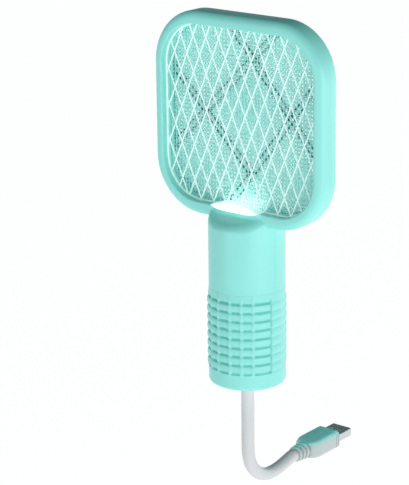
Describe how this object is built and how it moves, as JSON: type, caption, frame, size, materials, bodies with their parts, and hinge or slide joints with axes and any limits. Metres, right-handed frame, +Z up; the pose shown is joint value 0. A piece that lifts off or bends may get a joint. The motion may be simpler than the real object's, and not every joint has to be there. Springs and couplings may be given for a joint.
{
  "type": "electric fly swatter",
  "caption": "Small handheld electric swatter: rounded square mesh head, ribbed round grip, lure light, rear controls, on its short USB charging lead.",
  "frame": {"origin": "on the flat shoulder of the USB plug, just above its metal shell", "axes": "+Y the way the USB plug goes in, +Z up along the handle, the head's front faces -Y"},
  "size_m": [0.102, 0.1028, 0.2461],
  "materials": {
    "housing_plastic": "satin mint moulding",
    "grip_plastic": "satin mint moulding with grooves",
    "guard_wire": "pale mint coated wire",
    "grid_steel": "bright woven steel",
    "spacer_plastic": "mint moulding",
    "lens_plastic": "milky translucent",
    "circuit_laminate": "green solder mask",
    "black_plastic": "black moulding",
    "brass_metal": "plain",
    "battery_wrap": "shrunk film",
    "capacitor_film": "dipped resin",
    "control_plastic": "white moulding",
    "lead_plastic": "soft white moulding",
    "red_plastic": "red moulding",
    "screw_steel": "zinc plated",
    "copper_winding": "enamelled wire"
  },
  "bodies": {
    "charging_lead": {"charging_cord": "lead_plastic", "usb_plug_body": "lead_plastic", "usb_metal_shell": "screw_steel", "usb_contact_tongue": "control_plastic", "usb_contact_1": "brass_metal", "usb_contact_2": "brass_metal", "usb_contact_3": "brass_metal", "usb_contact_4": "brass_metal", "usb_strain_relief": "lead_plastic", "handle_plug": "lead_plastic", "handle_plug_tip": "screw_steel"},
    "swatter": {"front_housing": "housing_plastic", "rear_housing": "housing_plastic", "end_cap": "housing_plastic", "grip_sleeve": "grip_plastic", "front_guard_grid": "guard_wire", "front_spacer_frame": "spacer_plastic", "high_voltage_grid": "grid_steel", "rear_spacer_frame": "spacer_plastic", "rear_guard_grid": "spacer_plastic", "lure_light_lens": "lens_plastic", "lure_light_board": "circuit_laminate", "lure_lamp_1": "lens_plastic", "lure_lamp_2": "lens_plastic", "lure_lamp_3": "lens_plastic", "cap_screw_1": "screw_steel", "cap_screw_2": "screw_steel", "neck_screw_1": "screw_steel", "neck_screw_2": "screw_steel", "push_switch": "black_plastic", "slide_switch": "screw_steel", "charge_window": "lens_plastic", "charge_indicator": "red_plastic", "battery_cell": "battery_wrap", "battery_cradle": "black_plastic", "battery_contact_positive": "brass_metal", "battery_contact_spring": "screw_steel", "circuit_board": "circuit_laminate", "transformer_core": "black_plastic", "transformer_winding": "copper_winding", "storage_capacitor": "capacitor_film", "rectifier_diode_1": "black_plastic", "rectifier_diode_2": "black_plastic", "bleed_resistor": "battery_wrap", "charge_controller": "black_plastic", "charging_socket": "screw_steel", "socket_board": "circuit_laminate", "grid_lead_positive": "red_plastic", "grid_lead_negative": "black_plastic"},
    "zap_button": {"zap_button": "control_plastic"},
    "switch_plunger": {"push_switch_plunger": "red_plastic"},
    "power_knob": {"slide_switch_knob": "control_plastic"}
  },
  "joints": [
    {"name": "swatter_lift", "type": "slide", "parent": "charging_lead", "child": "swatter", "axis": [0, 0, 1], "range_m": [0, 0.0065]},
    {"name": "zap_button_press", "type": "slide", "parent": "swatter", "child": "zap_button", "axis": [0, -1, 0], "range_m": [0, 0.001], "stiffness_N_per_m": 500},
    {"name": "switch_plunger_press", "type": "slide", "parent": "swatter", "child": "switch_plunger", "axis": [0, -1, 0], "range_m": [0, 0.001]},
    {"name": "power_knob_slide", "type": "slide", "parent": "swatter", "child": "power_knob", "axis": [0, 0, 1], "range_m": [0, 0.003]}
  ],
  "couplings": [
    {"joint": "switch_plunger_press", "follows": "zap_button_press", "ratio": 1}
  ]
}
